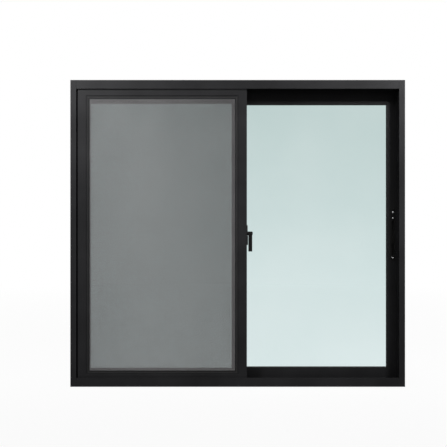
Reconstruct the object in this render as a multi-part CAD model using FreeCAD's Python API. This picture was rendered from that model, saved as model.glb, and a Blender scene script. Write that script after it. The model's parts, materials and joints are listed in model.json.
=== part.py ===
import FreeCAD, Part
import math
import os

from FreeCAD import Vector

# Horizontal sliding window with two glass sashes and an insect screen, in millimetres.
# The room side faces -Y. The origin is the middle of the sill's underside.
# Depths are counted from the room-side face of the outer frame.

# Outer frame
frame_width = 1200.0
frame_height = 1100.0
frame_depth = 100.0
frame_wall = 1.6
jamb_face = 21.0
head_face = 31.0
sill_front_height = 32.0
sill_back_height = 22.0
track_count = 3
cut_gap = 0.2
corner_seam = 0.5
overcut = 1.0

# Roller rails on the sill
rail_height = 20.0
rail_wall = 1.6
rail_bulb_radius = 1.6

# Screw ports that hold the corners together
port_radius = 3.0
port_bore_radius = 1.8
port_slot = 1.6
port_margin = 0.6

# Drain slots in the outer upstand of the sill
drain_slot_length = 25.0
drain_slot_height = 5.0
drain_slot_spacing = 380.0
drain_slot_count = 3
drain_slot_lift = 2.0

# Anchor holes through the jambs
anchor_hole_radius = 4.0
anchor_hole_spacing = 700.0
anchor_hole_count = 2

# Rubber stops in the jamb pockets
stop_thickness = 3.0
stop_width = 14.0
stop_height = 30.0
stop_spread = 700.0

# Running clearances
running_clearance = 5.0
seat_gap = 0.3
pocket_clearance = 8.4

# Glass sashes
sash_wall = 1.3
jamb_stile_width = 42.0
meeting_stile_width = 40.0
sash_bottom_clearance = 12.4
sash_top_clearance = 17.4
bottom_rail_height = 44.0
top_rail_height = 57.0
sash_port_radius = 2.9
sash_port_bore_radius = 1.7

# Glazing
glass_thickness = 5.0
glazing_pocket_depth = 14.0
glazing_return = 4.1
glass_bite = 10.0
gasket_lip = 2.0
gasket_lip_thickness = 1.1
gasket_depth = 7.0
gasket_barb = 1.9
gasket_barb_height = 2.4
setting_block_length = 60.0
setting_block_inset = 120.0

# Interlock strips between the meeting stiles
interlock_wall = 1.2
interlock_foot = 13.0
interlock_reach = 7.6
interlock_right_reach = 9.6
interlock_offset = 5.0
interlock_overlap = 2.0
interlock_notch = 70.0
interlock_top_clearance = 5.0

# Insect screen
screen_face = 43.5
screen_past_meeting = 13.0
screen_jamb_gap = 4.3
screen_bottom_clearance = 12.9
screen_top_clearance = 23.4
screen_wall = 1.3
mesh_recess = 2.0
mesh_ledge = 14.0
mesh_thickness = 0.5
spline_groove_start = 5.0
spline_groove_width = 4.5
spline_groove_depth = 5.0
spline_diameter = 4.1
spline_ribs = 8

# Rollers
wheel_radius = 11.0
wheel_groove_radius = 9.0
wheel_width = 6.0
wheel_groove_width = 3.4
wheel_hub_radius = 4.0
wheel_hub_gap = 0.3
wheel_clearance = 0.5
axle_radius = 2.5
axle_clearance = 0.15
carriage_length = 50.0
carriage_height = 16.0
carriage_wall = 1.3
carriage_inset = 45.0

# Anti-lift blocks on top of the sashes
lift_block_length = 32.0
lift_block_height = 6.0
lift_block_inset = 50.0
lift_block_chamfer = 3.0

# Cam lock on the meeting stile
lock_height = 550.0
lock_plate_width = 15.0
lock_plate_length = 86.0
lock_plate_thickness = 3.0
lock_housing_drop = 42.0
lock_housing_gap = 1.5
lock_boss_radius = 7.5
lock_boss_height = 2.7
lock_pin_radius = 3.0
lock_pin_head_radius = 5.0
lock_pin_clearance = 0.08
cam_radius = 17.0
cam_thickness = 4.0
cam_past_centre = 4.0
cam_rim_width = 3.0
cam_rim_height = 1.5
lever_hub_radius = 7.0
lever_offset = 19.0
lever_width = 14.0
lever_length = 66.0
lever_root_thickness = 12.0
lever_tip_thickness = 8.0

# Keeper of the cam lock on the right sash
keeper_height = 48.0
keeper_lift = 6.0
keeper_inset = 10.0
keeper_wall = 2.0
keeper_cam_gap = 3.0
keeper_lip_depth = 9.6

# Flush lock on the outer stile of the right sash
flush_plate_width = 21.5
flush_plate_height = 192.0
flush_plate_thickness = 1.2
flush_plate_inset = 7.5
flush_plate_drop = 4.0
flush_corner_radius = 3.0
flush_recess_width = 10.4
flush_recess_height = 128.0
flush_recess_drop = 17.0
flush_recess_depth = 11.0
flush_recess_wall = 0.8
flush_recess_margin = 1.2
thumb_width = 8.0
thumb_height = 53.0
thumb_drop = 12.5
thumb_depth = 8.5
thumb_rib = 1.2
thumb_rib_count = 6

# Places that follow from the sizes above
half_width = frame_width / 2
half_depth = frame_depth / 2
track_pitch = (frame_depth - frame_wall) / track_count
sash_thickness = track_pitch - frame_wall - 2 * running_clearance
half_sash = sash_thickness / 2
glazing_mouth = sash_thickness - 2 * glazing_return
web_inside = half_width - frame_wall
leg_edge = half_width - jamb_face
sash_outer_x = web_inside - pocket_clearance
meeting_edge_x = meeting_stile_width / 2
sash_bottom = frame_wall + sash_bottom_clearance
sash_top = frame_height - frame_wall - sash_top_clearance
sight_bottom = sash_bottom + bottom_rail_height
sight_top = sash_top - top_rail_height
sight_outer_x = sash_outer_x - jamb_stile_width
screen_left = -leg_edge + screen_jamb_gap
screen_right = meeting_edge_x + screen_past_meeting
screen_bottom = frame_wall + screen_bottom_clearance
screen_top = frame_height - frame_wall - screen_top_clearance
axle_height = rail_height + seat_gap + wheel_groove_radius
carriage_bottom = axle_height - wheel_groove_radius
notch_half_width = rail_bulb_radius + running_clearance
notch_top = rail_height + running_clearance
interlock_bottom = sash_bottom + notch_top
interlock_top = frame_height - head_face - interlock_top_clearance
boss_end = lock_plate_thickness + lock_boss_height
cam_start = boss_end + seat_gap
cam_end = cam_start + cam_thickness + cam_rim_height


def leg_depth(index):
    """Depth of the room-side face of one track leg, counted from 0."""
    return index * track_pitch


def track_y(number):
    """Middle of a track; track 1 is the one next to the room."""
    return (number - 0.5) * track_pitch + frame_wall / 2 - half_depth


SCREEN_Y = track_y(1)
LEFT_Y = track_y(2)
RIGHT_Y = track_y(3)


def box(x0, x1, y0, y1, z0, z1):
    return Part.makeBox(x1 - x0, y1 - y0, z1 - z0, Vector(x0, y0, z0))


def face(points):
    """Flat face through 3-D points."""
    return Part.Face(Part.makePolygon(points + points[:1]))


def rod(radius, start, end):
    """Round bar from one point to another."""
    direction = end - start
    return Part.makeCylinder(radius, direction.Length, start, direction)


def rectangle(u0, u1, w0, w1):
    """Rectangle of a section: u across the member, w through its depth."""
    return face([Vector(u0, w0, 0), Vector(u1, w0, 0), Vector(u1, w1, 0), Vector(u0, w1, 0)])


def disc(u, w, radius):
    return Part.Face(Part.Wire(Part.makeCircle(radius, Vector(u, w, 0))))


def union(shapes):
    """One clean shape out of overlapping or touching ones."""
    return shapes[0].fuse(shapes[1:]).removeSplitter()


TURNS = {"right": 0, "top": -90, "left": 180, "bottom": 90}
AXES = {
    "right": Vector(1, 0, 0),
    "top": Vector(0, 0, 1),
    "left": Vector(-1, 0, 0),
    "bottom": Vector(0, 0, -1),
}


def lay_bar(section, length, side, x, y, z):
    """Section pulled to a bar centred on x, z, with its u axis turned to point to one side."""
    bar = section.extrude(Vector(0, 0, length))
    bar.translate(Vector(0, 0, -length / 2))
    bar.rotate(Vector(0, 0, 0), Vector(0, 1, 0), TURNS[side])
    bar.translate(Vector(x, y, z))
    return bar


def port_hollow(u, w, radius, bore):
    """Bore of a screw port and the slot along it, which opens away from the wall."""
    half_slot = port_slot / 2
    slot = rectangle(u, u + 2 * radius, w - half_slot, w + half_slot)
    return disc(u, w, bore).fuse(slot)


def with_ports(walls, ports):
    """Walls of a section with screw ports grown on them; a port is its rib and its hollow."""
    section = union(walls + [rib for rib, hollow in ports])
    for rib, hollow in ports:
        section = section.cut(hollow)
    return section.removeSplitter()


# Outer frame members


def frame_ports():
    """Screw ports beside the two middle legs; u is height above the web, w is depth."""
    height = frame_wall + port_radius - seat_gap
    side = frame_wall + port_radius + port_margin
    ports = []
    for index in (1, 2):
        depth = leg_depth(index) + side
        rib = disc(height, depth, port_radius)
        ports.append((rib, port_hollow(height, depth, port_radius, port_bore_radius)))
    return ports


def legs(reach, indices):
    """Track legs of a section, from the web to their tips."""
    return [rectangle(0, reach, leg_depth(i), leg_depth(i) + frame_wall) for i in indices]


def trim_ends(member, z0, z1):
    """Cope both ends so that the legs stop at the jamb legs and only the web runs on."""
    reach = web_inside + cut_gap
    inner = leg_edge - corner_seam
    for x0, x1 in ((-reach, -inner), (inner, reach)):
        for index in range(track_count + 1):
            y0 = leg_depth(index) - half_depth - cut_gap
            member = member.cut(box(x0, x1, y0, y0 + frame_wall + 2 * cut_gap, z0, z1))
    return member


def frame_head():
    web = rectangle(0, frame_wall, 0, frame_depth)
    section = with_ports([web] + legs(head_face, range(track_count + 1)), frame_ports())
    length = 2 * (web_inside - cut_gap)
    head = lay_bar(section, length, "bottom", 0, -half_depth, frame_height)
    return trim_ends(head, frame_height - head_face - overcut, frame_height - frame_wall)


def roller_rail(number):
    """Thin upstand with a round bead on top, which a wheel runs on."""
    depth = track_y(number) + half_depth
    stem = rectangle(0, rail_height - rail_bulb_radius, depth - rail_wall / 2, depth + rail_wall / 2)
    bead = disc(rail_height - rail_bulb_radius, depth, rail_bulb_radius)
    return [stem, bead]


def drain_slots():
    """Round-ended slots through the outer upstand, just above the sill's floor."""
    z = frame_wall + drain_slot_lift + drain_slot_height / 2
    radius = drain_slot_height / 2
    half_straight = drain_slot_length / 2 - radius
    y0 = half_depth - 2 * frame_wall
    slots = []
    for index in range(drain_slot_count):
        x = (index - (drain_slot_count - 1) / 2) * drain_slot_spacing
        slots.append(box(x - half_straight, x + half_straight, y0, half_depth + overcut,
                         z - radius, z + radius))
        for end in (x - half_straight, x + half_straight):
            slots.append(rod(radius, Vector(end, y0, z), Vector(end, half_depth + overcut, z)))
    return slots


def frame_sill():
    web = rectangle(0, frame_wall, 0, frame_depth)
    walls = [web]
    walls += legs(sill_front_height, [0])
    walls += legs(sill_back_height, [track_count])
    for number in range(1, track_count + 1):
        walls += roller_rail(number)
    section = with_ports(walls, frame_ports())
    length = 2 * (web_inside - cut_gap)
    sill = lay_bar(section, length, "top", 0, -half_depth, 0)
    sill = trim_ends(sill, frame_wall, sill_front_height + overcut)
    for slot in drain_slots():
        sill = sill.cut(slot)
    return sill


def frame_jamb(side):
    """Full-height jamb; side is -1 on the left and 1 on the right."""
    web = rectangle(0, frame_wall, 0, frame_depth)
    section = union([web] + legs(jamb_face, range(track_count + 1)))
    inward = "right" if side < 0 else "left"
    jamb = lay_bar(section, frame_height, inward, side * half_width, -half_depth, frame_height / 2)
    trim = frame_wall + cut_gap
    x0, x1 = sorted((side * web_inside, side * (leg_edge - overcut)))
    for z0, z1 in ((-overcut, trim), (frame_height - trim, frame_height + overcut)):
        jamb = jamb.cut(box(x0, x1, -half_depth - overcut, half_depth + overcut, z0, z1))
    for index in range(anchor_hole_count):
        z = frame_height / 2 + (index - (anchor_hole_count - 1) / 2) * anchor_hole_spacing
        outside = Vector(side * (half_width + overcut), LEFT_Y, z)
        inside = Vector(side * (web_inside - overcut), LEFT_Y, z)
        jamb = jamb.cut(rod(anchor_hole_radius, outside, inside))
    return jamb


def jamb_stops():
    """Rubber stops where each panel meets its jamb."""
    pads = []
    for side, y in ((-1, SCREEN_Y), (-1, LEFT_Y), (1, RIGHT_Y)):
        for up in (-1, 1):
            z = frame_height / 2 + up * stop_spread / 2
            x = side * (web_inside - stop_thickness)
            x0, x1 = sorted((x, side * web_inside))
            pad = box(x0, x1, y - stop_width / 2, y + stop_width / 2, z - stop_height / 2, z + stop_height / 2)
            rim = [edge for edge in pad.Edges if abs(edge.CenterOfMass.x - x) < cut_gap]
            pads.append(pad.makeChamfer(stop_thickness / 3, rim))
    return Part.makeCompound(pads)


# Glass sash members


def sash_walls(width, closed):
    """Walls of a sash section: glazing pocket at u = 0, chamber behind it."""
    mouth = glazing_mouth / 2
    pocket = glazing_pocket_depth
    walls = [
        rectangle(0, width, -half_sash, -half_sash + sash_wall),
        rectangle(0, width, half_sash - sash_wall, half_sash),
        rectangle(0, sash_wall, -half_sash, -mouth),
        rectangle(0, sash_wall, mouth, half_sash),
        rectangle(pocket, pocket + sash_wall, -half_sash, half_sash),
    ]
    if closed:
        walls.append(rectangle(width - sash_wall, width, -half_sash, half_sash))
    return walls


def sash_ports():
    """Two square-shouldered screw ports in the corners behind the glazing pocket."""
    u = glazing_pocket_depth + sash_wall + sash_port_radius - seat_gap
    reach = half_sash - sash_wall - sash_port_radius + seat_gap
    radius = sash_port_radius
    ports = []
    for w in (-reach, reach):
        rib = rectangle(u - radius, u + radius, w - radius, w + radius)
        ports.append((rib, port_hollow(u, w, radius, sash_port_bore_radius)))
    return ports


def rail_notch(y):
    """Room that the sill's rail needs through the foot of a panel."""
    return box(-frame_width, frame_width, y - notch_half_width, y + notch_half_width, 0, notch_top)


def sash_stile(y, sight_x, side, width):
    """Full-height stile whose glazing pocket opens at sight_x, away from its side."""
    section = union(sash_walls(width, True))
    middle = (sash_bottom + sash_top) / 2
    stile = lay_bar(section, sash_top - sash_bottom, side, sight_x, y, middle)
    return stile.cut(rail_notch(y))


def sash_rail(y, x0, x1, sight_z, side, width, closed):
    """Rail cut square between two stiles."""
    section = with_ports(sash_walls(width, closed), sash_ports())
    return lay_bar(section, x1 - x0 - 2 * cut_gap, side, (x0 + x1) / 2, y, sight_z)


def glass_pane(y, x0, x1):
    half = glass_thickness / 2
    return box(x0 - glass_bite, x1 + glass_bite, y - half, y + half,
               sight_bottom - glass_bite, sight_top + glass_bite)


def mitred_side(section, rect, reach_in, reach_out, side):
    """One side of a rectangular ring, mitred at both ends.

    The section has u = 0 on the rectangle and grows outward; w is depth.
    """
    x0, x1, z0, z1 = rect
    middle_x = (x0 + x1) / 2
    middle_z = (z0 + z1) / 2
    half_x = (x1 - x0) / 2
    half_z = (z1 - z0) / 2
    upright = side in ("left", "right")
    across, along = (half_x, half_z) if upright else (half_z, half_x)
    at = Vector(middle_x, 0, middle_z) + AXES[side] * across
    bar = lay_bar(section, 2 * (along + reach_out), side, at.x, 0, at.z)
    outline = [
        Vector(reach_out, 0, along + reach_out),
        Vector(-reach_in, 0, along - reach_in),
        Vector(-reach_in, 0, -along + reach_in),
        Vector(reach_out, 0, -along - reach_out),
    ]
    zone = face(outline).extrude(Vector(0, 2 * frame_depth, 0))
    zone.rotate(Vector(0, 0, 0), Vector(0, 1, 0), TURNS[side])
    zone.translate(Vector(at.x, -frame_depth, at.z))
    return bar.common(zone)


def gasket_section(facing):
    """Wedge gasket between the glass and one lip of the pocket, with a barb behind the lip."""
    glass = glass_thickness / 2
    mouth = glazing_mouth / 2
    barb_start = sash_wall + seat_gap
    points = [
        (-gasket_lip, glass),
        (-gasket_lip, glass + gasket_lip_thickness),
        (0, mouth),
        (barb_start, mouth),
        (barb_start, mouth + gasket_barb),
        (barb_start + gasket_barb_height, mouth),
        (gasket_depth, mouth),
        (gasket_depth, glass),
    ]
    return face([Vector(u, facing * w, 0) for u, w in points])


def glazing_gaskets(y, x0, x1):
    """Room-side and outer gasket, each one ring round the glass, its barbs cut at the stile lips."""
    rings = []
    mouth = glazing_mouth / 2
    lip = sash_wall + seat_gap
    for facing in (-1, 1):
        section = gasket_section(facing)
        rect = (x0, x1, sight_bottom, sight_top)
        sides = [mitred_side(section, rect, gasket_lip, gasket_depth, side) for side in AXES]
        ring = union(sides)
        w0, w1 = sorted((facing * mouth, facing * half_sash))
        for lip_x0, lip_x1 in ((x0 - lip, x0), (x1, x1 + lip)):
            ring = ring.cut(box(lip_x0, lip_x1, w0, w1, 0, frame_height))
        ring.translate(Vector(0, y, 0))
        rings.append(ring)
    return Part.makeCompound(rings)


def setting_blocks(y, x0, x1):
    """Blocks that carry the glass off the floor of the bottom rail's pocket."""
    half = glass_thickness
    z0 = sight_bottom - glazing_pocket_depth
    z1 = sight_bottom - glass_bite
    blocks = []
    for x in (x0 + setting_block_inset, x1 - setting_block_inset):
        blocks.append(box(x - setting_block_length / 2, x + setting_block_length / 2,
                          y - half, y + half, z0, z1))
    return Part.makeCompound(blocks)


# Rollers and blocks shared by all three panels


def carriage_places(x0, x1):
    return (x0 + jamb_stile_width + carriage_inset, x1 - jamb_stile_width - carriage_inset)


def wheel_wells(y, x0, x1):
    """Room that the wheels need between the ports of a bottom rail."""
    reach = wheel_radius + wheel_clearance
    half = wheel_width / 2 + wheel_clearance
    return Part.makeCompound([
        box(x - reach, x + reach, y - half, y + half, sash_bottom - overcut, axle_height + reach)
        for x in carriage_places(x0, x1)
    ])


def roller_wheel(x, y):
    """Grooved wheel that straddles the rail's bead."""
    half = wheel_width / 2
    groove = wheel_groove_width / 2
    hub_end = half_sash - sash_wall - seat_gap - carriage_wall - wheel_hub_gap
    bore = axle_radius + axle_clearance
    points = [
        (bore, -hub_end), (wheel_hub_radius, -hub_end), (wheel_hub_radius, -half), (wheel_radius, -half),
        (wheel_groove_radius, -groove), (wheel_groove_radius, groove), (wheel_radius, half),
        (wheel_hub_radius, half), (wheel_hub_radius, hub_end), (bore, hub_end),
    ]
    outline = face([Vector(0, w, r) for r, w in points])
    wheel = outline.revolve(Vector(0, 0, 0), Vector(0, 1, 0), 360)
    wheel.translate(Vector(x, y, axle_height))
    return wheel


def roller_carriage(x, y):
    """Open frame round a wheel, with its axle, held in the foot of a panel."""
    half = carriage_length / 2
    outside = half_sash - sash_wall - seat_gap
    inside = outside - carriage_wall
    top = carriage_bottom + carriage_height
    shell = box(x - half, x + half, y - outside, y + outside, carriage_bottom, top)
    well = box(x - half + carriage_wall, x + half - carriage_wall, y - inside, y + inside,
               carriage_bottom - overcut, top + overcut)
    axle = rod(axle_radius, Vector(x, y - outside, axle_height), Vector(x, y + outside, axle_height))
    return shell.cut(well).cut(rail_notch(y)).fuse(axle).removeSplitter()


def roller_wheels(y, x0, x1):
    return Part.makeCompound([roller_wheel(x, y) for x in carriage_places(x0, x1)])


def roller_carriages(y, x0, x1):
    return Part.makeCompound([roller_carriage(x, y) for x in carriage_places(x0, x1)])


def lift_blocks(y, x0, x1, top):
    """Plastic blocks on the top edge that stop a panel from being lifted off its rail."""
    half = half_sash - sash_wall
    blocks = []
    for x in (x0 + lift_block_inset, x1 - lift_block_inset):
        half_length = lift_block_length / 2
        outline = [
            Vector(x - half_length, y - half, top),
            Vector(x + half_length, y - half, top),
            Vector(x + half_length - lift_block_chamfer, y - half, top + lift_block_height),
            Vector(x - half_length + lift_block_chamfer, y - half, top + lift_block_height),
        ]
        blocks.append(face(outline).extrude(Vector(0, 2 * half, 0)))
    return Part.makeCompound(blocks)


# Interlock strips


def left_interlock():
    """Hooked strip on the back of the left meeting stile, left out beside the keeper."""
    face_y = LEFT_Y + half_sash
    x = interlock_offset
    wall = interlock_wall
    walls = [
        rectangle(x, x + interlock_foot, 0, wall),
        rectangle(x, x + wall, 0, interlock_reach),
        rectangle(-interlock_overlap, x + wall, interlock_reach - wall, interlock_reach),
    ]
    section = union(walls)
    notch = interlock_notch / 2
    lengths = ((interlock_bottom, lock_height - notch), (lock_height + notch, interlock_top))
    strips = []
    for z0, z1 in lengths:
        strip = section.extrude(Vector(0, 0, z1 - z0))
        strip.translate(Vector(0, face_y, z0))
        strips.append(strip)
    return Part.makeCompound(strips)


def right_interlock():
    """Hooked strip on the room side of the right meeting stile."""
    face_y = RIGHT_Y - half_sash
    x = interlock_offset
    wall = interlock_wall
    walls = [
        rectangle(-x - interlock_foot, -x, -wall, 0),
        rectangle(-x - wall, -x, -interlock_right_reach, 0),
        rectangle(-x - wall, interlock_overlap, -interlock_right_reach, -interlock_right_reach + wall),
    ]
    strip = union(walls).extrude(Vector(0, 0, interlock_top - interlock_bottom))
    strip.translate(Vector(0, face_y, interlock_bottom))
    return strip


# Insect screen


def screen_section(closed):
    """Box section with a recessed ledge and a groove for the spline; u = 0 at the mesh opening."""
    wall = screen_wall
    front = -half_sash
    ledge = front + mesh_recess
    groove0 = spline_groove_start
    groove1 = groove0 + spline_groove_width
    floor = ledge + spline_groove_depth
    walls = [
        rectangle(mesh_ledge, screen_face, front, front + wall),
        rectangle(0, screen_face, half_sash - wall, half_sash),
        rectangle(0, wall, ledge, half_sash),
        rectangle(mesh_ledge, mesh_ledge + wall, front, ledge + wall),
        rectangle(0, groove0, ledge, ledge + wall),
        rectangle(groove1, mesh_ledge, ledge, ledge + wall),
        rectangle(groove0 - wall, groove0, ledge, floor + wall),
        rectangle(groove1, groove1 + wall, ledge, floor + wall),
        rectangle(groove0 - wall, groove1 + wall, floor, floor + wall),
    ]
    if closed:
        walls.append(rectangle(screen_face - wall, screen_face, front, half_sash))
    return union(walls)


def screen_opening():
    return (screen_left + screen_face, screen_right - screen_face,
            screen_bottom + screen_face, screen_top - screen_face)


def screen_member(side):
    member = mitred_side(screen_section(side != "bottom"), screen_opening(), 0, screen_face, side)
    member.translate(Vector(0, SCREEN_Y, 0))
    return member.cut(rail_notch(SCREEN_Y))


def screen_mesh():
    """Sheet of insect mesh on the ledge, cut off at the spline groove."""
    x0, x1, z0, z1 = screen_opening()
    over = spline_groove_start - seat_gap
    y1 = SCREEN_Y - half_sash + mesh_recess
    return box(x0 - over, x1 + over, y1 - mesh_thickness, y1, z0 - over, z1 + over)


def screen_spline():
    """Ribbed rubber spline pressed into its groove, one ring round the mesh."""
    radius = spline_diameter / 2
    u = spline_groove_start + spline_groove_width / 2
    w = -half_sash + mesh_recess + radius - seat_gap
    turns = [2 * math.pi * rib / spline_ribs for rib in range(spline_ribs)]
    section = face([Vector(u + radius * math.cos(turn), w + radius * math.sin(turn), 0) for turn in turns])
    sides = [mitred_side(section, screen_opening(), 0, spline_groove_start + spline_groove_width, side)
             for side in AXES]
    ring = union(sides)
    ring.translate(Vector(0, SCREEN_Y, 0))
    return ring


# Cam lock


def lock_x(offset):
    return meeting_edge_x + offset


def lock_axis_point(offset):
    return Vector(lock_x(offset), LEFT_Y, lock_height)


def lock_housing():
    """Foot of the lock's base, stepped to pass under the cam and then under the lever's hub."""
    y0 = LEFT_Y - lock_plate_width / 2
    x0 = lock_x(0)
    x1 = lock_x(cam_end + lock_housing_gap)
    x2 = lock_x(lever_offset - lock_housing_gap)
    bottom = lock_height - lock_housing_drop
    under_cam = lock_height - cam_radius - lock_housing_gap
    under_hub = lock_height - lever_hub_radius - lock_housing_gap
    outline = [(x0, bottom), (x2, bottom), (x2, under_hub), (x1, under_hub), (x1, under_cam), (x0, under_cam)]
    return face([Vector(x, y0, z) for x, z in outline]).extrude(Vector(0, lock_plate_width, 0))


def cam_lock_base():
    """Round-ended plate on the edge of the meeting stile, with housing, boss and pivot pin."""
    radius = lock_plate_width / 2
    straight = lock_plate_length / 2 - radius
    x0 = lock_x(0)
    x1 = lock_x(lock_plate_thickness)
    body = [box(x0, x1, LEFT_Y - radius, LEFT_Y + radius, lock_height - straight, lock_height + straight)]
    for up in (-straight, straight):
        body.append(rod(radius, Vector(x0, LEFT_Y, lock_height + up), Vector(x1, LEFT_Y, lock_height + up)))
    plate = union(body)
    boss = rod(lock_boss_radius, lock_axis_point(0), lock_axis_point(boss_end))
    pin_end = lever_offset + lever_width + seat_gap
    pin = rod(lock_pin_radius, lock_axis_point(0), lock_axis_point(pin_end))
    head = rod(lock_pin_head_radius, lock_axis_point(pin_end), lock_axis_point(pin_end + lock_pin_radius / 2))
    return plate.fuse([lock_housing(), boss, pin, head]).removeSplitter()


def cam_disc():
    """Half-moon cam with a raised rim, turned to the room when the lock is open."""
    floor = cam_end - cam_rim_height
    cam = rod(cam_radius, lock_axis_point(cam_start), lock_axis_point(floor))
    rim = rod(cam_radius, lock_axis_point(floor), lock_axis_point(cam_end))
    inner = rod(cam_radius - cam_rim_width, lock_axis_point(floor), lock_axis_point(cam_end))
    cam = cam.fuse(rim.cut(inner))
    beyond = box(lock_x(0), lock_x(cam_end + lever_width), LEFT_Y + cam_past_centre, LEFT_Y + 2 * cam_radius,
                 lock_height - 2 * cam_radius, lock_height + 2 * cam_radius)
    return cam.cut(beyond)


def lock_lever():
    """Cam, hub and cranked lever in one casting, hanging down when open."""
    hub = rod(lever_hub_radius, lock_axis_point(cam_start), lock_axis_point(lever_offset + lever_width))
    x0 = lock_x(lever_offset)
    x1 = lock_x(lever_offset + lever_width)
    root = lever_root_thickness / 2
    tip = lever_tip_thickness / 2
    foot = lock_height - lever_length + tip
    blade = face([
        Vector(x0, LEFT_Y - root, lock_height),
        Vector(x0, LEFT_Y + root, lock_height),
        Vector(x0, LEFT_Y + tip, foot),
        Vector(x0, LEFT_Y - tip, foot),
    ]).extrude(Vector(x1 - x0, 0, 0))
    toe = rod(tip, Vector(x0, LEFT_Y, foot), Vector(x1, LEFT_Y, foot))
    lever = union([cam_disc(), hub, blade, toe])
    past = lever_offset + 2 * lever_width
    bore = rod(lock_pin_radius + lock_pin_clearance, lock_axis_point(0), lock_axis_point(past))
    return lever.cut(bore)


def cam_keeper():
    """Angle on the right meeting stile whose lip stands beside the closed cam."""
    face_y = RIGHT_Y - half_sash
    lip_x = lock_x(cam_end + keeper_cam_gap)
    z0 = lock_height + keeper_lift - keeper_height / 2
    z1 = z0 + keeper_height
    plate = box(keeper_inset, lip_x + keeper_wall, face_y - keeper_wall, face_y, z0, z1)
    lip = box(lip_x, lip_x + keeper_wall, face_y - keeper_lip_depth, face_y, z0, z1)
    return union([plate, lip])


# Flush lock


def flush_lock_frame():
    """Middle of the recess across, and the stile's room-side face."""
    x0 = sight_outer_x + glazing_pocket_depth + sash_wall + flush_recess_margin
    return x0 + flush_recess_width / 2, RIGHT_Y - half_sash


def flush_recess(grow, depth):
    x, face_y = flush_lock_frame()
    z = lock_height - flush_recess_drop
    half_w = flush_recess_width / 2 + grow
    half_h = flush_recess_height / 2 + grow
    return box(x - half_w, x + half_w, face_y - 2 * flush_plate_thickness, face_y + depth + grow,
               z - half_h, z + half_h)


def flush_lock_case():
    """Face plate with a dished finger recess behind it."""
    x, face_y = flush_lock_frame()
    z = lock_height - flush_plate_drop
    x0 = sight_outer_x + flush_plate_inset
    plate = box(x0, x0 + flush_plate_width, face_y - flush_plate_thickness, face_y,
                z - flush_plate_height / 2, z + flush_plate_height / 2)
    corners = [edge for edge in plate.Edges if edge.Length < 2 * flush_plate_thickness]
    plate = plate.makeFillet(flush_corner_radius, corners)
    tub = flush_recess(flush_recess_wall, flush_recess_depth)
    tub = tub.common(box(0, frame_width, face_y - seat_gap, frame_depth, 0, frame_height))
    return union([plate, tub]).cut(flush_recess(0, flush_recess_depth))


def thumb_slide():
    """Ribbed thumb piece on the floor of the recess."""
    x, face_y = flush_lock_frame()
    z = lock_height - thumb_drop
    back = face_y + flush_recess_depth
    front = back - thumb_depth
    half_w = thumb_width / 2
    block = box(x - half_w, x + half_w, front, back, z - thumb_height / 2, z + thumb_height / 2)
    pitch = thumb_height / (thumb_rib_count + 1)
    for index in range(thumb_rib_count):
        rib_z = z - thumb_height / 2 + (index + 1) * pitch
        groove = box(x - half_w - overcut, x + half_w + overcut, front - overcut, front + thumb_rib,
                     rib_z - thumb_rib / 2, rib_z + thumb_rib / 2)
        block = block.cut(groove)
    return block


# Assembly


def glass_sash(name, y, x0, x1, left_stile, right_stile):
    """All members of one glass sash; the stile widths differ at the jamb and the middle."""
    sight0 = x0 + left_stile
    sight1 = x1 - right_stile
    bottom_rail = sash_rail(y, sight0, sight1, sight_bottom, "bottom", bottom_rail_height, False)
    return {
        name + "_left_stile": sash_stile(y, sight0, "left", left_stile),
        name + "_right_stile": sash_stile(y, sight1, "right", right_stile),
        name + "_top_rail": sash_rail(y, sight0, sight1, sight_top, "top", top_rail_height, True),
        name + "_bottom_rail": bottom_rail.cut(wheel_wells(y, x0, x1)),
        name + "_glass": glass_pane(y, sight0, sight1),
        name + "_gaskets": glazing_gaskets(y, sight0, sight1),
        name + "_setting_blocks": setting_blocks(y, sight0, sight1),
        name + "_roller_wheels": roller_wheels(y, x0, x1),
        name + "_roller_carriages": roller_carriages(y, x0, x1),
        name + "_lift_blocks": lift_blocks(y, x0, x1, sash_top),
    }


def outer_frame():
    return {
        "frame_head": frame_head(),
        "frame_sill": frame_sill(),
        "frame_left_jamb": frame_jamb(-1),
        "frame_right_jamb": frame_jamb(1),
        "jamb_stops": jamb_stops(),
    }


def insect_screen():
    return {
        "screen_left_stile": screen_member("left"),
        "screen_right_stile": screen_member("right"),
        "screen_top_rail": screen_member("top"),
        "screen_bottom_rail": screen_member("bottom"),
        "screen_mesh": screen_mesh(),
        "screen_spline": screen_spline(),
        "screen_roller_wheels": roller_wheels(SCREEN_Y, screen_left, screen_right),
        "screen_roller_carriages": roller_carriages(SCREEN_Y, screen_left, screen_right),
        "screen_lift_blocks": lift_blocks(SCREEN_Y, screen_left, screen_right, screen_top),
    }


def locks():
    return {
        "left_sash_interlock": left_interlock(),
        "right_sash_interlock": right_interlock(),
        "cam_lock_base": cam_lock_base(),
        "cam_lock_lever": lock_lever(),
        "cam_lock_keeper": cam_keeper(),
        "flush_lock_case": flush_lock_case(),
        "flush_lock_thumb_slide": thumb_slide(),
    }


def window():
    nodes = outer_frame()
    nodes.update(glass_sash("left_sash", LEFT_Y, -sash_outer_x, meeting_edge_x,
                            jamb_stile_width, meeting_stile_width))
    nodes.update(glass_sash("right_sash", RIGHT_Y, -meeting_edge_x, sash_outer_x,
                            meeting_stile_width, jamb_stile_width))
    hole = flush_recess(flush_recess_wall + seat_gap, flush_recess_depth)
    nodes["right_sash_right_stile"] = nodes["right_sash_right_stile"].cut(hole)
    nodes.update(insect_screen())
    nodes.update(locks())
    return nodes


os.makedirs("parts", exist_ok=True)
for node, shape in window().items():
    shape.exportStep("parts/" + node + ".step")
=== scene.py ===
import json
import math
import random

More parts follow.
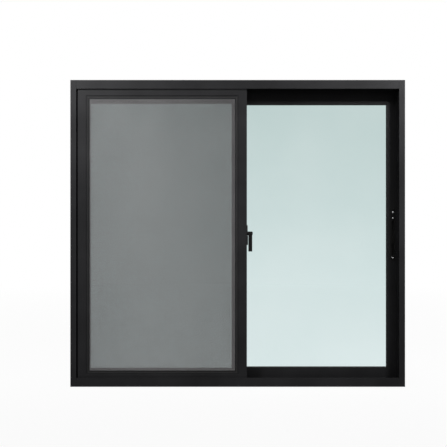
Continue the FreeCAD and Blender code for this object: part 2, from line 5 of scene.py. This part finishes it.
import bpy
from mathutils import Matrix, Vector


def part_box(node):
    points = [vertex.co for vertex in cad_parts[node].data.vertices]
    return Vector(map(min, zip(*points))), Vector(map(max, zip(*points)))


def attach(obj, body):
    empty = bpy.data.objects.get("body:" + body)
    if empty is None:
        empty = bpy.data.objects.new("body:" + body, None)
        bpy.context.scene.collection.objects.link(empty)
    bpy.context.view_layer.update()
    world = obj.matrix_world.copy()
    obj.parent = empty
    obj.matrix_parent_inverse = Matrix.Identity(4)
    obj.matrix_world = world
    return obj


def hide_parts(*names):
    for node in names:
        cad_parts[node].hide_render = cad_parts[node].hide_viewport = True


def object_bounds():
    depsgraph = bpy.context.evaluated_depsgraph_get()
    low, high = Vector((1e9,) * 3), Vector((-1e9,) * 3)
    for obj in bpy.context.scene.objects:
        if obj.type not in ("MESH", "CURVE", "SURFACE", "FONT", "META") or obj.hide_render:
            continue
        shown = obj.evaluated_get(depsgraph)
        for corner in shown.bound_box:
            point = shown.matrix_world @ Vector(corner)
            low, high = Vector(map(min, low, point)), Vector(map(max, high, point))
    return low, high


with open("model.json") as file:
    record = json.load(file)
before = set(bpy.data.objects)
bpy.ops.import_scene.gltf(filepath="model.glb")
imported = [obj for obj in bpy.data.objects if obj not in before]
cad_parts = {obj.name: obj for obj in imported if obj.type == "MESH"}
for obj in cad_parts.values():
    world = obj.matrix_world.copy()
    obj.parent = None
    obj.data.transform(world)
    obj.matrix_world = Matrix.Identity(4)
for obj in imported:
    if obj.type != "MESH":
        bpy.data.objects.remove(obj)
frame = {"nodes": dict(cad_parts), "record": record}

# Looks of a black aluminium sliding window. Metres; +Z up, the room is towards -Y.

MM = 0.001
CAD_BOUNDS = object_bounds()

# Camera: square-on from the room, its frame shifted as the photograph's is
IMAGE_SIDE = 447
SENSOR_WIDTH = 36.0
LENS = 67.4
CAMERA_DISTANCE = 3.05
OBJECT_OFF_CENTRE = (14.2, 9.9)  # pixels to the right and down

# Light
WHITE = (1, 1, 1, 1)
SUN_STRENGTH = 0.4
SUN_DIRECTION = (0.25, 0.82, -0.6)
SUN_ANGLE = math.radians(35)
SOFTBOX_SIDE = 0.5
SOFTBOX_SPREAD = math.radians(72)
SOFTBOXES = (
    # name, power, place, aim
    ("left_softbox", 19.0, (-1.2, -1.5, 2.0), (-0.85, 0, 1.15)),
    ("right_softbox", 20.0, (1.2, -1.5, 2.0), (0.85, 0, 1.15)),
)
AMBIENT_ABOVE = 0.3
AMBIENT_BELOW = 0.15

# Floor, whose share of plain white grows from near the window to the far end of a reach
FLOOR_SIZE = 200.0
FLOOR_COLOUR = (0.5, 0.5, 0.5, 1)
FLOOR_GLOW_NEAR = 0.95
FLOOR_GLOW_REACH = (1.5, 6.0)

# Finishes
CLOUD_SCALE = 9.0
CLOUD_DETAIL = 3.0
GRAIN_DETAIL = 4.0
NOISE_RANGE = (0.3, 0.7)  # where most of a noise texture's values lie
ROUNDING_SAMPLES = 4
WORN_AND_HIGHLIT_AGREEMENT = (0.86, 0.995)  # of the rounded normal with the sharp one: full wear and painted highlight, none
BUMP_STRENGTH = 0.5

# Glass
GLASS_IOR = 1.45
GLASS_FOOT_TINT = (0.705, 0.82, 0.82)
# the head's darker colour is painted shade
GLASS_SHADED_HEAD_TINT = (0.465, 0.59, 0.577)
GLASS_CLOUD_TINT = (0.95, 0.98, 0.97)
GLASS_CLOUD_SHARE = 0.12
GLASS_CLOUD_SCALE = 2.5
GLASS_RIPPLE_SCALE = 6.0
GLASS_RIPPLE_STRENGTH = 0.008
GLASS_RIPPLE_DEPTH = 0.5 * MM

# Woven insect screen; its wires stop short of the CAD sheet's edges, as the photograph shows
WIRE_RADIUS = 0.15 * MM
WIRE_PITCH = 0.5 * MM
WIRE_SIDES = 6
MESH_TRIM = 4.0 * MM

# Screw heads: radius and height
FLUSH_SCREW = (2.9 * MM, 0.9 * MM)
CAM_SCREW = (2.8 * MM, 0.9 * MM)
KEEPER_SCREW = (2.6 * MM, 0.8 * MM)
CORNER_SCREW = (2.9 * MM, 1.6 * MM)
SCREW_SEGMENTS = 40
SCREW_RINGS = 12
DOME_POWER = 4
RECESS_ARM = 0.62  # of the head's radius
RECESS_HALF_WIDTH = 0.15  # of the head's radius
RECESS_DEPTH = 0.7  # of the head's height

# Places of the screws
FLUSH_SCREW_DROPS = (13.5 * MM, 35.4 * MM)  # below the case's top
FLUSH_SCREW_RISE = 10.8 * MM  # above the case's foot
CAM_SCREW_INSET = 3 * MM
CAM_SCREW_DROP = 7 * MM
KEEPER_PLATE = 2 * MM
KEEPER_SCREW_INSET = 4.5 * MM
KEEPER_SCREW_END = 8 * MM
GLASS_BITE = 10 * MM
PORT_UP = 17.9 * MM  # from the sight line
PORT_SIDE = 6.7 * MM  # from the sash's middle

# Wool-pile seals between the sashes and the frame's legs
PILE_BACK = 0.8 * MM
PILE_BACK_WIDTH = 6.0 * MM
PILE_WIDTH = 4.0 * MM
PILE_HEIGHT = 4.6 * MM
PILE_STEP = 1.5 * MM
PILE_RUFFLE = 0.25 * MM
PILE_SHOULDER_WIDTH = 0.9  # of the pile's width
PILE_SHOULDER_HEIGHT = 0.93  # of the pile's height
PILE_CROWN_WIDTH = 0.35  # of the pile's width
JAMB_SEAL_INSET = 5 * MM
JAMB_SEAL_FOOT = 30 * MM
JAMB_SEAL_TOP = 4 * MM
HEAD_SEAL_DROP = 5 * MM


# Shader nodes


def calculate(tree, operation, first, second):
    """Math node on two sockets."""
    node = tree.nodes.new("ShaderNodeMath")
    node.operation = operation
    tree.links.new(first, node.inputs[0])
    tree.links.new(second, node.inputs[1])
    return node.outputs[0]


def noise(tree, place, scale, detail=CLOUD_DETAIL):
    """Noise texture's value at a place."""
    texture = tree.nodes.new("ShaderNodeTexNoise")
    texture.inputs["Scale"].default_value = scale
    texture.inputs["Detail"].default_value = detail
    tree.links.new(place, texture.inputs["Vector"])
    return texture.outputs["Fac"]


def remap(tree, value, low, high, source=NOISE_RANGE):
    """Value carried from a source range to low and high, clamped."""
    carry = tree.nodes.new("ShaderNodeMapRange")
    carry.inputs["From Min"].default_value, carry.inputs["From Max"].default_value = source
    carry.inputs["To Min"].default_value = low
    carry.inputs["To Max"].default_value = high
    tree.links.new(value, carry.inputs["Value"])
    return carry.outputs["Result"]


def upward_part(tree, vector):
    """Z of a vector."""
    parts = tree.nodes.new("ShaderNodeSeparateXYZ")
    tree.links.new(vector, parts.inputs[0])
    return parts.outputs["Z"]


def blend_colours(tree, factor, first, second):
    """First colour at 0, second at 1; each is a tuple or a socket."""
    mix = tree.nodes.new("ShaderNodeMix")
    mix.data_type = "RGBA"
    tree.links.new(factor, mix.inputs["Factor"])
    for socket, colour in ((mix.inputs["A"], first), (mix.inputs["B"], second)):
        if isinstance(colour, tuple):
            socket.default_value = (*colour, 1)
        else:
            tree.links.new(colour, socket)
    return mix.outputs["Result"]


def blend_shaders(tree, factor, first, second, surface_input):
    """First shader at 0, second at 1, on an output's surface."""
    mix = tree.nodes.new("ShaderNodeMixShader")
    tree.links.new(factor, mix.inputs["Fac"])
    tree.links.new(first.outputs[0], mix.inputs[1])
    tree.links.new(second.outputs[0], mix.inputs[2])
    tree.links.new(mix.outputs[0], surface_input)


def seen_rays(tree):
    """1 for camera, glossy and transmission rays, 0 for the rays that only light things."""
    path = tree.nodes.new("ShaderNodeLightPath").outputs
    gloss = calculate(tree, "MAXIMUM", path["Is Camera Ray"], path["Is Glossy Ray"])
    return calculate(tree, "MAXIMUM", gloss, path["Is Transmission Ray"])


def new_material(name):
    """Material with nodes, and its node tree."""
    material = bpy.data.materials.new(name)
    material.use_nodes = True
    return material, material.node_tree


# Stage


def make_camera():
    """Level camera in front of the middle of the window."""
    low, high = CAD_BOUNDS
    data = bpy.data.cameras.new("camera")
    data.sensor_width = SENSOR_WIDTH
    data.lens = LENS
    data.shift_x = -OBJECT_OFF_CENTRE[0] / IMAGE_SIDE
    data.shift_y = OBJECT_OFF_CENTRE[1] / IMAGE_SIDE
    camera = bpy.data.objects.new("camera", data)
    camera.location = (0, -CAMERA_DISTANCE, (low[2] + high[2]) / 2)
    camera.rotation_euler = (math.radians(90), 0, 0)
    bpy.context.scene.collection.objects.link(camera)
    bpy.context.scene.camera = camera


def add_lamp(data, direction, place=(0, 0, 0)):
    """Puts a lamp at a place, to shine along a direction."""
    lamp = bpy.data.objects.new(data.name, data)
    lamp.location = place
    lamp.rotation_euler = Vector(direction).to_track_quat("-Z", "Y").to_euler()
    bpy.context.scene.collection.objects.link(lamp)


def make_sun():
    """Soft distant lamp from the room's upper left."""
    data = bpy.data.lights.new("sun", "SUN")
    data.energy = SUN_STRENGTH
    data.angle = SUN_ANGLE
    add_lamp(data, SUN_DIRECTION)


def make_softboxes():
    """Lamps above and before the window, whose light fades down and towards the middle."""
    for name, power, place, aim in SOFTBOXES:
        data = bpy.data.lights.new(name, "AREA")
        data.energy = power
        data.shape = "RECTANGLE"
        data.size = data.size_y = SOFTBOX_SIDE
        data.spread = SOFTBOX_SPREAD
        add_lamp(data, Vector(aim) - Vector(place), place)


def make_world():
    """White background, and light that is stronger from above."""
    world = bpy.data.worlds.new("studio")
    world.use_nodes = True
    tree = world.node_tree
    up = upward_part(tree, tree.nodes.new("ShaderNodeTexCoord").outputs["Generated"])
    ambient = tree.nodes["Background"]
    ambient.inputs["Color"].default_value = WHITE
    strength = remap(tree, up, AMBIENT_BELOW, AMBIENT_ABOVE, (-1.0, 1.0))
    tree.links.new(strength, ambient.inputs["Strength"])
    white = tree.nodes.new("ShaderNodeBackground")
    white.inputs["Color"].default_value = WHITE
    blend_shaders(tree, seen_rays(tree), ambient, white, tree.nodes["World Output"].inputs["Surface"])
    bpy.context.scene.world = world


def make_floor():
    """Pale floor that keeps the window's shadow and meets the white background."""
    half = FLOOR_SIZE / 2
    corners = [(-half, -half, 0), (half, -half, 0), (half, half, 0), (-half, half, 0)]
    mesh = bpy.data.meshes.new("floor")
    mesh.from_pydata(corners, [], [(0, 1, 2, 3)])
    floor = bpy.data.objects.new("floor", mesh)
    bpy.context.scene.collection.objects.link(floor)
    material, tree = new_material("floor")
    tree.nodes.remove(tree.nodes["Principled BSDF"])
    lit = tree.nodes.new("ShaderNodeBsdfDiffuse")
    lit.inputs["Color"].default_value = FLOOR_COLOUR
    glow = tree.nodes.new("ShaderNodeEmission")
    glow.inputs["Strength"].default_value = 1.0
    distance = tree.nodes.new("ShaderNodeVectorMath")
    distance.operation = "LENGTH"
    tree.links.new(tree.nodes.new("ShaderNodeTexCoord").outputs["Object"], distance.inputs[0])
    share = remap(tree, distance.outputs["Value"], FLOOR_GLOW_NEAR, 1.0, FLOOR_GLOW_REACH)
    shown = calculate(tree, "MULTIPLY", seen_rays(tree), share)
    blend_shaders(tree, shown, lit, glow, tree.nodes["Material Output"].inputs["Surface"])
    mesh.materials.append(material)


# Materials


def surface(name, dark, light, roughness, grain, bump, metallic=0.0, specular=0.5,
            edge=None, edge_radius=0.4 * MM, stretch=(1, 1, 1), sheen=0.0, painted_foot_light=None):
    """Principled finish with cloudy colour, uneven gloss, fine bump and softened edges.

    grain is the scale of the fine noise and stretch draws it out. edge is the colour of edges rubbed by
    wear and also a painted highlight along them, and dust is painted light that the finish takes towards
    the foot of the window, where the lamps' light falls off.
    """
    material, tree = new_material(name)
    shader = tree.nodes["Principled BSDF"]
    shader.inputs["Metallic"].default_value = metallic
    shader.inputs["Specular IOR Level"].default_value = specular
    shader.inputs["Sheen Weight"].default_value = sheen
    place = tree.nodes.new("ShaderNodeTexCoord").outputs["Object"]
    grained = tree.nodes.new("ShaderNodeMapping")
    grained.inputs["Scale"].default_value = stretch
    tree.links.new(place, grained.inputs["Vector"])
    fine = noise(tree, grained.outputs["Vector"], grain, GRAIN_DETAIL)
    cloud = remap(tree, noise(tree, place, CLOUD_SCALE), 0.0, 1.0)
    colour = blend_colours(tree, cloud, dark, light)
    # Painted light: the finish turns lighter towards the foot of the window, where the lamps' light falls
    # off
    if painted_foot_light:
        low, high = CAD_BOUNDS
        foot_light_share = remap(tree, upward_part(tree, place), 1.0, 0.0, (low[2], high[2]))
        colour = blend_colours(tree, foot_light_share, colour, painted_foot_light)
    rounded = tree.nodes.new("ShaderNodeBevel")
    rounded.samples = ROUNDING_SAMPLES
    rounded.inputs["Radius"].default_value = edge_radius
    # Lighter colour on the edges, for wear and as a painted highlight along them
    if edge:
        sharp = tree.nodes.new("ShaderNodeNewGeometry")
        agreement = tree.nodes.new("ShaderNodeVectorMath")
        agreement.operation = "DOT_PRODUCT"
        tree.links.new(rounded.outputs["Normal"], agreement.inputs[0])
        tree.links.new(sharp.outputs["Normal"], agreement.inputs[1])
        worn_and_highlit = remap(tree, agreement.outputs["Value"], 1.0, 0.0, WORN_AND_HIGHLIT_AGREEMENT)
        colour = blend_colours(tree, worn_and_highlit, colour, edge)
    tree.links.new(colour, shader.inputs["Base Color"])
    tree.links.new(remap(tree, fine, *roughness), shader.inputs["Roughness"])
    relief = tree.nodes.new("ShaderNodeBump")
    relief.inputs["Strength"].default_value = BUMP_STRENGTH
    relief.inputs["Distance"].default_value = bump
    tree.links.new(fine, relief.inputs["Height"])
    tree.links.new(rounded.outputs["Normal"], relief.inputs["Normal"])
    tree.links.new(relief.outputs["Normal"], shader.inputs["Normal"])
    return material


def glass_material():
    """Clear glass with a faint blue-green tint, darker towards the top as painted shade."""
    material, tree = new_material("tinted_glass")
    shader = tree.nodes["Principled BSDF"]
    shader.inputs["Transmission Weight"].default_value = 1.0
    shader.inputs["IOR"].default_value = GLASS_IOR
    shader.inputs["Roughness"].default_value = 0.0
    place = tree.nodes.new("ShaderNodeTexCoord").outputs["Object"]
    low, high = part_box("right_sash_glass")
    height = remap(tree, upward_part(tree, place), 0.0, 1.0, (low.z, high.z))
    # Painted shade: the glass's colour darkens towards the top
    tint_and_painted_shade = blend_colours(tree, height, GLASS_FOOT_TINT, GLASS_SHADED_HEAD_TINT)
    cloud = remap(tree, noise(tree, place, GLASS_CLOUD_SCALE), 0.0, GLASS_CLOUD_SHARE)
    tree.links.new(blend_colours(tree, cloud, tint_and_painted_shade, GLASS_CLOUD_TINT), shader.inputs["Base Color"])
    ripple = tree.nodes.new("ShaderNodeBump")
    ripple.inputs["Strength"].default_value = GLASS_RIPPLE_STRENGTH
    ripple.inputs["Distance"].default_value = GLASS_RIPPLE_DEPTH
    tree.links.new(noise(tree, place, GLASS_RIPPLE_SCALE), ripple.inputs["Height"])
    tree.links.new(ripple.outputs["Normal"], shader.inputs["Normal"])
    return material


# The edge colours stand for wear and are painted highlights along the edges too
FINISHES = {
    "black_aluminium": dict(
        name="black_powder_coat", dark=(0.0085, 0.0085, 0.009), light=(0.013, 0.013, 0.0138),
        roughness=(0.36, 0.5), grain=900.0, bump=0.03 * MM, specular=0.05, edge=(0.022, 0.022, 0.023)),
    "rubber": dict(
        name="black_rubber", dark=(0.006, 0.006, 0.006), light=(0.01, 0.01, 0.01),
        roughness=(0.6, 0.8), grain=600.0, bump=0.05 * MM, specular=0.25),
    # The yarn's lighter colour towards the foot is painted light
    "insect_mesh": dict(
        name="coated_yarn", dark=(0.087, 0.085, 0.087), light=(0.106, 0.104, 0.106),
        roughness=(0.5, 0.7), grain=4000.0, bump=0.01 * MM, specular=0.25, edge_radius=0.02 * MM,
        painted_foot_light=(0.156, 0.152, 0.154)),
    "nylon": dict(
        name="black_nylon", dark=(0.015, 0.015, 0.016), light=(0.025, 0.025, 0.026),
        roughness=(0.35, 0.5), grain=500.0, bump=0.03 * MM),
    "zinc_steel": dict(
        name="zinc_plated_steel", dark=(0.4, 0.41, 0.43), light=(0.6, 0.6, 0.61),
        roughness=(0.25, 0.45), grain=500.0, bump=0.02 * MM, metallic=1.0, stretch=(0.08, 1, 1)),
    "lock_metal": dict(
        name="black_lock_paint", dark=(0.003, 0.003, 0.003), light=(0.005, 0.005, 0.005),
        roughness=(0.28, 0.42), grain=700.0, bump=0.02 * MM, specular=0.1, edge=(0.09, 0.09, 0.09),
        edge_radius=0.6 * MM),
    "screw_steel": dict(
        name="bright_screw_steel", dark=(0.5, 0.5, 0.51), light=(0.68, 0.68, 0.69),
        roughness=(0.2, 0.36), grain=900.0, bump=0.01 * MM, metallic=1.0, edge_radius=0.15 * MM),
    "black_screw": dict(
        name="blackened_screw", dark=(0.012, 0.012, 0.012), light=(0.02, 0.02, 0.02),
        roughness=(0.35, 0.5), grain=900.0, bump=0.01 * MM, edge=(0.08, 0.08, 0.08),
        edge_radius=0.15 * MM),
    "pile": dict(
        name="wool_pile", dark=(0.03, 0.03, 0.032), light=(0.055, 0.055, 0.058),
        roughness=(0.8, 0.95), grain=2500.0, bump=0.2 * MM, specular=0.1, stretch=(1, 0.15, 1),
        sheen=0.4),
}


def make_materials():
    """One finish for each of the record's slots, and those of the added pieces."""
    materials = {slot: surface(**finish) for slot, finish in FINISHES.items()}
    materials["glass"] = glass_material()
    return materials


def dress_nodes(materials):
    """Gives each CAD node the finish of its slot."""
    slots = {part["node"]: part["material_slot"] for part in frame["record"]["subparts"]}
    for name, node in frame["nodes"].items():
        node.data.materials.clear()
        node.data.materials.append(materials[slots[name]])


# Pieces


def add_piece(name, points, faces, material, body, smooth=False):
    """Makes a mesh piece that rides on a body."""
    mesh = bpy.data.meshes.new(name)
    mesh.from_pydata(points, [], faces)
    mesh.validate()
    mesh.materials.append(material)
    mesh.polygons.foreach_set("use_smooth", [smooth] * len(mesh.polygons))
    piece = bpy.data.objects.new(name, mesh)
    bpy.context.scene.collection.objects.link(piece)
    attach(piece, body)
    return piece


def add_wire(points, faces, start, end, across, depth):
    """Closed thin prism from start to end; across and depth are its two half-width directions."""
    first = len(points)
    turns = [2 * math.pi * k / WIRE_SIDES for k in range(WIRE_SIDES)]
    for centre in (start, end):
        for turn in turns:
            points.append(centre + across * math.cos(turn) + depth * math.sin(turn))
    for k in range(WIRE_SIDES):
        after = (k + 1) % WIRE_SIDES
        faces.append((first + k, first + after, first + WIRE_SIDES + after, first + WIRE_SIDES + k))
    faces.append(tuple(first + k for k in reversed(range(WIRE_SIDES))))
    faces.append(tuple(first + WIRE_SIDES + k for k in range(WIRE_SIDES)))


def wire_places(low, high):
    """Middles of equal steps of about one pitch."""
    count = int((high - low) / WIRE_PITCH)
    return [low + (k + 0.5) * (high - low) / count for k in range(count)]


def make_insect_mesh(materials):
    """Crossed wires over the screen's opening, upright ones behind."""
    low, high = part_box("screen_mesh")
    trim = Vector((MESH_TRIM, 0, MESH_TRIM))
    low, high = Vector(low) + trim, Vector(high) - trim
    front = high.y - 3 * WIRE_RADIUS
    back = high.y - WIRE_RADIUS
    depth = Vector((0, WIRE_RADIUS, 0))
    points, faces = [], []
    for x in wire_places(low.x, high.x):
        add_wire(points, faces, Vector((x, back, low.z)), Vector((x, back, high.z)),
                 Vector((WIRE_RADIUS, 0, 0)), depth)
    for z in wire_places(low.z, high.z):
        add_wire(points, faces, Vector((low.x, front, z)), Vector((high.x, front, z)),
                 Vector((0, 0, -WIRE_RADIUS)), depth)
    mesh = add_piece("insect_mesh_wires", points, faces, materials["insect_mesh"], "insect_screen",
                     smooth=True)
    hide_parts("screen_mesh")


def screw_head(centre, outward, radius, height):
    """Points and faces of a closed domed head with a cross recess, on an upright surface."""
    side = Vector((0, 0, 1))
    other = outward.cross(side)
    arm, slot = RECESS_ARM * radius, RECESS_HALF_WIDTH * radius
    points, faces = [], []
    for ring in range(SCREW_RINGS + 1):
        share = 1 - ring / SCREW_RINGS
        reach = radius * share
        for segment in range(SCREW_SEGMENTS):
            turn = 2 * math.pi * segment / SCREW_SEGMENTS
            u, v = reach * math.cos(turn), reach * math.sin(turn)
            rise = height * math.sqrt(1 - share ** DOME_POWER)
            if min(abs(u), abs(v)) < slot and max(abs(u), abs(v)) < arm:
                rise -= RECESS_DEPTH * height
            points.append(centre + side * u + other * v + outward * rise)
    for ring in range(SCREW_RINGS):
        for segment in range(SCREW_SEGMENTS):
            after = (segment + 1) % SCREW_SEGMENTS
            a, b = ring * SCREW_SEGMENTS + segment, ring * SCREW_SEGMENTS + after
            faces.append((a, b, b + SCREW_SEGMENTS, a + SCREW_SEGMENTS))
    faces.append(tuple(reversed(range(SCREW_SEGMENTS))))
    return points, faces


def make_screws(name, places, outward, size, material, body):
    """Several like screw heads as one piece."""
    points, faces = [], []
    for place in places:
        first = len(points)
        head, sides = screw_head(Vector(place), Vector(outward), *size)
        points += head
        faces += [tuple(first + k for k in side) for side in sides]
    piece = add_piece(name, points, faces, material, body, smooth=True)


def lock_screws(materials):
    """Bright screws of the flush lock and dark ones of the cam lock and its keeper."""
    case_low, case_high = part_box("flush_lock_case")
    thumb_low, thumb_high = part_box("flush_lock_thumb_slide")
    x = (thumb_low.x + thumb_high.x) / 2
    heights = [case_high.z - drop for drop in FLUSH_SCREW_DROPS] + [case_low.z + FLUSH_SCREW_RISE]
    make_screws("flush_lock_screws", [(x, case_low.y, z) for z in heights], (0, -1, 0), FLUSH_SCREW,
                materials["screw_steel"], "right_sash")
    base_low, base_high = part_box("cam_lock_base")
    make_screws("cam_lock_screw", [(base_low.x + CAM_SCREW_INSET, 0, base_high.z - CAM_SCREW_DROP)],
                (1, 0, 0), CAM_SCREW, materials["black_screw"], "left_sash")
    keeper_low, keeper_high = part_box("cam_lock_keeper")
    x, y = keeper_low.x + KEEPER_SCREW_INSET, keeper_high.y - KEEPER_PLATE
    heights = (keeper_low.z + KEEPER_SCREW_END, keeper_high.z - KEEPER_SCREW_END)
    make_screws("keeper_screws", [(x, y, z) for z in heights], (0, -1, 0), KEEPER_SCREW,
                materials["black_screw"], "right_sash")


def sash_corner_screws(materials):
    """Screws through the stiles' edges into the rails' ports."""
    for sash in ("left_sash", "right_sash"):
        glass_low, glass_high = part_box(sash + "_glass")
        heights = (glass_low.z + GLASS_BITE - PORT_UP, glass_high.z - GLASS_BITE + PORT_UP)
        for side, stile in ((-1, "_left_stile"), (1, "_right_stile")):
            low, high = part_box(sash + stile)
            x = low.x if side < 0 else high.x
            middle = (low.y + high.y) / 2
            places = [(x, middle + aside, z) for z in heights for aside in (-PORT_SIDE, PORT_SIDE)]
            make_screws(sash + stile + "_screws", places, (side, 0, 0), CORNER_SCREW,
                        materials["black_screw"], sash)


def pile_profile():
    """Across and rise of each corner of a backing tape with its brush of pile."""
    back, half = PILE_BACK_WIDTH / 2, PILE_WIDTH / 2
    shoulder, shoulder_height = PILE_SHOULDER_WIDTH * half, PILE_SHOULDER_HEIGHT * PILE_HEIGHT
    crown = PILE_CROWN_WIDTH * half
    return [
        (-back, 0), (-back, PILE_BACK), (-half, PILE_BACK), (-shoulder, shoulder_height),
        (-crown, PILE_HEIGHT), (crown, PILE_HEIGHT), (shoulder, shoulder_height),
        (half, PILE_BACK), (back, PILE_BACK), (back, 0),
    ]


def pile_strip(name, start, end, outward, material, body):
    """Ruffled pile on a straight line, standing outward from a face."""
    start, end, outward = Vector(start), Vector(end), Vector(outward)
    along = (end - start).normalized()
    across = along.cross(outward)
    length = (end - start).length
    steps = int(length / PILE_STEP)
    chance = random.Random(len(name) + steps)
    profile = pile_profile()
    points, faces = [], []
    for step in range(steps + 1):
        centre = start + along * length * step / steps
        for u, rise in profile:
            ruffle = PILE_RUFFLE if rise > PILE_BACK else 0.0
            jitter = chance.uniform(-ruffle, 0.0)
            sway = chance.uniform(-ruffle, ruffle)
            points.append(centre + across * (u + sway) + outward * (rise + jitter))
    count = len(profile)
    for step in range(steps):
        for k in range(count):
            after = (k + 1) % count
            a, b = step * count + k, step * count + after
            faces.append((a, b, b + count, a + count))
    faces.append(tuple(reversed(range(count))))
    faces.append(tuple(steps * count + k for k in range(count)))
    piece = add_piece(name, points, faces, material, body)


def make_seals(materials):
    """Pile on both faces: along the glass sashes' jamb edges, and along every top rail."""
    pile = materials["pile"]
    for sash, stile, side in (("left_sash", "_left_stile", -1), ("right_sash", "_right_stile", 1)):
        low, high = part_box(sash + stile)
        x = low.x + JAMB_SEAL_INSET if side < 0 else high.x - JAMB_SEAL_INSET
        foot, top = low.z + JAMB_SEAL_FOOT, high.z - JAMB_SEAL_TOP
        for face, y, facing in (("room", low.y, -1), ("outer", high.y, 1)):
            pile_strip(sash + "_jamb_seal_" + face, (x, y, foot), (x, y, top), (0, facing, 0), pile, sash)
    for body, rail in (("left_sash", "left_sash_top_rail"), ("right_sash", "right_sash_top_rail"),
                       ("insect_screen", "screen_top_rail")):
        low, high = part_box(rail)
        z = high.z - HEAD_SEAL_DROP
        for face, y, facing in (("room", low.y, -1), ("outer", high.y, 1)):
            pile_strip(rail + "_seal_" + face, (low.x, y, z), (high.x, y, z), (0, facing, 0), pile, body)


bpy.context.scene.view_settings.view_transform = "Standard"
make_camera()
make_world()
make_sun()
make_softboxes()
make_floor()
finishes = make_materials()
dress_nodes(finishes)
make_insect_mesh(finishes)
lock_screws(finishes)
sash_corner_screws(finishes)
make_seals(finishes)
